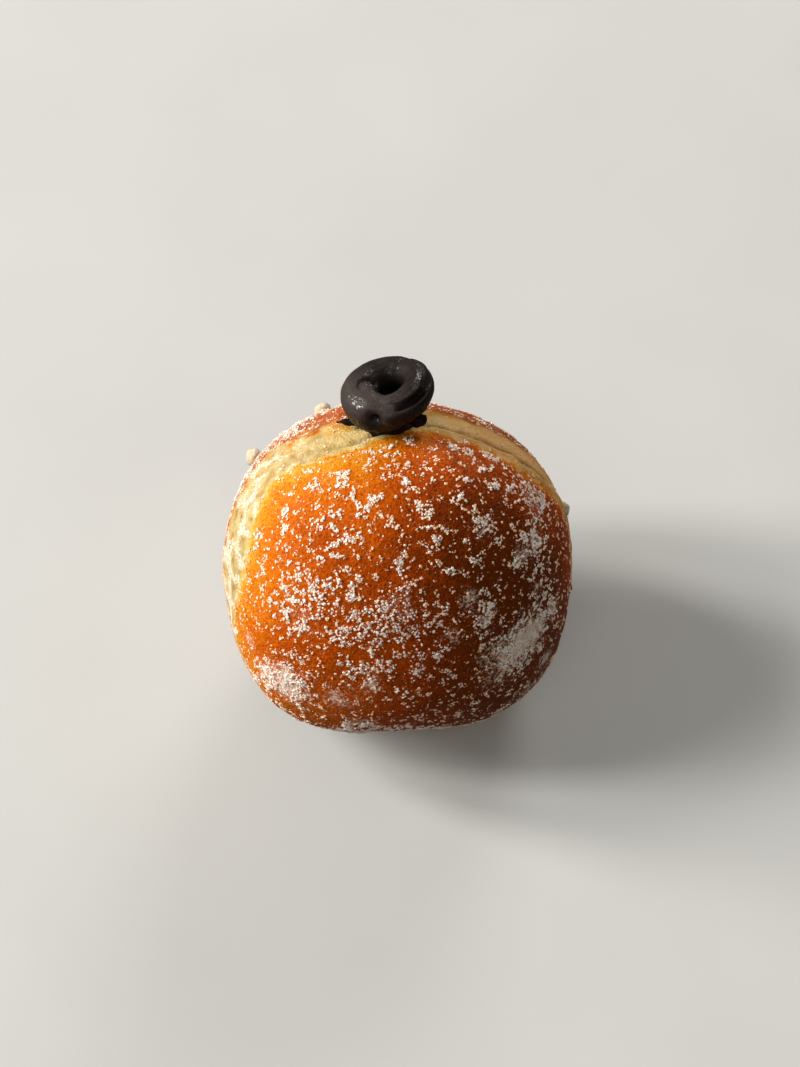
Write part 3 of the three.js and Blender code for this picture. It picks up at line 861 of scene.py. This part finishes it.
cover = on_front * 0.12 + on_back * (0.11 + 0.20 * left) + on_band * 0.03
cover *= 1 + 0.8 * patchy
clusters = patches_cover(places, [(*cluster, CLUSTER_SHARE) for cluster in BIG_CLUSTERS])
clusters = np.maximum(clusters, patches_cover(places, SUGARY_PARTS) * (1 + 0.5 * patchy))
cover = np.maximum(cover, clusters * (1 - 0.6 * on_band))
frosted = patches_cover(places, DUST_PATCHES) * (1 + 0.5 * smooth_noise(places, 2.5 * MM, 18))
dust_cover = 0.03 + 0.05 * low * on_front + on_back * (0.12 + 0.30 * left)
dust_cover = dust_cover * (1 + patchy) + on_band * (0.04 + 0.58 * soft_step(left, 0.50, 0.92) * streaky)
dust_cover = np.maximum(dust_cover, frosted)
add_attribute(bun.data, "dust", dust_cover[:len(bun.data.vertices)])

# Lace: thin chains and small clumps of crystals, as a rank from 0 to 1
lace = 0.60 * ridged_noise(places, 1.4 * MM, 12) + 0.60 * smooth_noise(places, 1.8 * MM, 13)
lace = evenly_ranked(lace + 0.38 * smooth_noise(places, 0.7 * MM, 14))
fine_lace = evenly_ranked(smooth_noise(places, 1.0 * MM, 15) + 0.8 * smooth_noise(places, 0.45 * MM, 16))
may_land = places[:, 2] > CLEAR_OF_FLOOR
near_curl = np.linalg.norm(places - np.array(curl_frame.translation), axis=1) < CURL_REACH
for index in np.flatnonzero(near_curl):
    hit, normal, _, distance = curl_surface.find_nearest(Vector(places[index]))
    may_land[index] = distance > CLEAR_OF_CURL and (Vector(places[index]) - hit).dot(normal) > 0

GRAIN_FLATNESS = 0.55
GRAIN_SIZES = [0.65, 0.85, 1.0, 1.2, 1.45]
GRAIN_SIZE_SHARES = [0.24, 0.25, 0.26, 0.17, 0.08]
deep = lace - (1 - cover)


def settle(where, size, layer=0.0):
    """Places, sizes, whiteness and upward directions of the grains at the chosen places."""
    sizes = size * random.choice(GRAIN_SIZES, np.count_nonzero(where), p=GRAIN_SIZE_SHARES)
    aside = random.uniform(-0.16, 0.16, (len(sizes), 3)) * MM
    white = 0.6 * soft_step(deep[where], -0.05, 0.20) + 0.4 * random.random(len(sizes))
    middles = places[where] + aside + outwards[where] * (sizes[:, None] * 0.15 + layer)
    return middles, sizes, white, outwards[where]


def drawn(share):
    """A random draw of the landing places, each with its share as its chance."""
    return may_land & (random.random(len(places)) < share)


in_lace = deep > 0
in_front = place_across > FRONT_STARTS
crystal_draw = in_lace & drawn(0.62) | drawn(0.003 * (on_front + on_back))
second_layer = in_lace & (deep > 0.16) & drawn(0.22)
fragment_draw = (deep > -0.02) & drawn(0.80) | drawn(0.012 * (on_front + on_back))
top_fragments = in_lace & (deep > 0.12) & drawn(0.45)
dust_draw = (fine_lace > 1 - dust_cover) & drawn(0.80)


def crystals(name, kinds, whole, most, material):
    """One mesh of many grains: boxes or broken corners, uneven, turned at random, lying flat."""
    template = bmesh.new()
    if whole:
        bmesh.ops.create_cube(template, size=1)
    else:
        bmesh.ops.create_cone(template, cap_ends=True, segments=3, radius1=0.62, radius2=0, depth=0.85)
    bmesh.ops.triangulate(template, faces=template.faces[:])
    template.verts.index_update()
    corners = np.array([vertex.co[:] for vertex in template.verts])
    triangles = np.array([[vertex.index for vertex in piece.verts] for piece in template.faces])
    template.free()
    middles, sizes, white, upwards = [np.concatenate(values) for values in zip(*kinds)]
    if len(middles) > most:
        kept = random.choice(len(middles), most, replace=False)
        middles, sizes, white, upwards = middles[kept], sizes[kept], white[kept], upwards[kept]
    count = len(middles)
    shapes = corners[None] * random.uniform(0.62, 1.0, (count, 1, 3)) * sizes[:, None, None]
    shapes *= random.uniform(0.8, 1.12, (count, len(corners), 1))
    turns = random.normal(size=(count, 4))
    turns /= np.linalg.norm(turns, axis=1, keepdims=True)
    matrices = np.array([Quaternion(turn).to_matrix() for turn in turns])
    shapes = np.einsum("nij,nkj->nki", matrices, shapes)
    above = np.einsum("nki,ni->nk", shapes, upwards)
    shapes -= GRAIN_FLATNESS * above[:, :, None] * upwards[:, None]
    shapes += middles[:, None]
    faces = triangles[None] + (np.arange(count) * len(corners))[:, None, None]
    mesh = bpy.data.meshes.new(name)
    mesh.from_pydata(shapes.reshape(-1, 3), [], faces.reshape(-1, 3))
    mesh.update()
    add_attribute(mesh, "white", np.repeat(white, len(corners)))
    made = bpy.data.objects.new(name, mesh)
    bpy.context.collection.objects.link(made)
    made.data.materials.append(material)
    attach(made, "root")
    return made


# Sugar: nearly white, with the warm tint that shows through the small and single grains
sugar, tree, surface = new_material("sugar_crystals")
sugar_colour = colour_ramp(tree, mesh_value(tree, "white"), [
    (0.0, (0.93, 0.42, 0.16)), (0.30, (1.0, 0.64, 0.38)), (0.65, (1.0, 0.84, 0.68)),
    (1.0, (1.0, 0.96, 0.91))])
tree.links.new(sugar_colour, surface.inputs["Base Color"])
surface.inputs["Roughness"].default_value = 0.25
surface.inputs["IOR"].default_value = 1.5
for name, part in (("sugar_front", in_front), ("sugar_back", ~in_front)):
    layers = [settle(crystal_draw & part, GRAIN), settle(second_layer & part, GRAIN, SECOND_LAYER)]
    crystals(name, layers, True, MOST_CRYSTALS, sugar)
layers = [settle(fragment_draw, FRAGMENT), settle(top_fragments, FRAGMENT, TOP_LAYER)]
crystals("sugar_fragments", layers, False, MOST_FRAGMENTS, sugar)
crystals("sugar_dust", [settle(dust_draw, DUST_GRAIN)], False, MOST_FRAGMENTS, sugar)


# Two crumbs of fried dough that stuck to the back crust, and a torn flake at the band's right
CRUMB_PLACES = [(137, -26), (108, -36)]
CRUMB_RADIUS = 2.2 * MM
CRUMB_LIFT = 1.2 * MM
FLAKE_PLACE = (16, 7)
FLAKE_WIDTH = 2.0 * MM
FLAKE_HEIGHT = 1.9 * MM

crumb_material, tree, surface = new_material("pale_crumb")
crumb_tone = cloudy(tree, 0.9 * MM, 4, seed=10)
crumb_colour = colour_ramp(tree, crumb_tone, [(0.3, (0.48, 0.39, 0.25)), (0.7, (0.64, 0.55, 0.38))])
tree.links.new(crumb_colour, surface.inputs["Base Color"])
tree.links.new(bump(tree, crumb_tone, 0.2 * MM), surface.inputs["Normal"])
surface.inputs["Roughness"].default_value = 0.8


def lumpy_ball(name, matrix, roughness, seed):
    shape = bmesh.new()
    bmesh.ops.create_icosphere(shape, subdivisions=4, radius=1)
    for vertex in shape.verts:
        swell = 1 + 0.14 * noise.noise(vertex.co * 1.6 + Vector((seed, 0, 0)))
        swell += roughness * noise.noise(vertex.co * 5 + Vector((0, seed, 0)))
        vertex.co *= swell
    bmesh.ops.transform(shape, matrix=matrix, verts=shape.verts[:])
    made = to_object(shape, name)
    made.data.materials.append(crumb_material)
    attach(made, "root")
    return made


for index, place in enumerate(CRUMB_PLACES):
    point, normal = on_crust(crust_place(*place))
    matrix = Matrix.Translation(point + normal * CRUMB_LIFT) @ Matrix.Diagonal((CRUMB_RADIUS,) * 3).to_4x4()
    lumpy_ball(f"crumb_{index + 1}", matrix, 0.08, 3.0 + index * 5)

point, normal = on_crust(crust_place(*FLAKE_PLACE))
stand = Vector((0, 0, 1)).rotation_difference(normal).to_matrix().to_4x4()
flake_size = Matrix.Diagonal((FLAKE_WIDTH, FLAKE_WIDTH * 0.5, FLAKE_HEIGHT, 1))
matrix = Matrix.Translation(point) @ stand @ flake_size
lumpy_ball("torn_flake", matrix, 0.15, 17.0)


# Floor: one plain pale sheet
FLOOR_SIZE = 4
shape = bmesh.new()
bmesh.ops.create_grid(shape, x_segments=2, y_segments=2, size=FLOOR_SIZE / 2)
floor = to_object(shape, "floor")
floor_paint, tree, surface = new_material("floor_paint")
floor_tone = cloudy(tree, 60 * MM, 2, seed=11)
floor_colour = colour_ramp(tree, floor_tone, [(0.3, (0.50, 0.50, 0.484)), (0.7, (0.52, 0.52, 0.503))])
tree.links.new(floor_colour, surface.inputs["Base Color"])
surface.inputs["Roughness"].default_value = 0.6
surface.inputs["Specular IOR Level"].default_value = 0.1
floor.data.materials.append(floor_paint)
floor.visible_diffuse = False
floor.visible_glossy = False


# Light: two tall soft panels side by side at the left, a weak one behind, a weaker wide one in
# front, and a faint even glow
LIGHT_DISTANCE = 3.0


def soft_panel(name, direction, width, height, power, colour):
    lamp = bpy.data.lights.new(name, "AREA")
    lamp.energy = power
    lamp.shape = "RECTANGLE"
    lamp.size = width
    lamp.size_y = height
    lamp.color = colour
    panel = bpy.data.objects.new(name, lamp)
    bpy.context.collection.objects.link(panel)
    towards = Vector(direction).normalized()
    panel.location = bun_middle + towards * LIGHT_DISTANCE
    panel.rotation_euler = towards.to_track_quat("Z", "Y").to_euler()


soft_panel("key_front", (-0.86, 0.02, 0.50), 0.5, 1.5, 84, (1.0, 0.975, 0.94))
soft_panel("key_back", (-0.80, 0.28, 0.50), 0.5, 1.5, 84, (1.0, 0.975, 0.94))
soft_panel("behind", (0.30, 0.85, 0.43), 1.2, 1.2, 42, (1.0, 0.98, 0.95))
soft_panel("front_fill", (-0.10, -0.62, 0.78), 2.0, 2.0, 17, (1.0, 0.97, 0.93))
world = bpy.data.worlds.new("glow")
bpy.context.scene.world = world
world.use_nodes = True
world.node_tree.nodes["Background"].inputs["Color"].default_value = (1.0, 0.97, 0.93, 1)
world.node_tree.nodes["Background"].inputs["Strength"].default_value = 0.13
bpy.context.scene.view_settings.view_transform = "Standard"
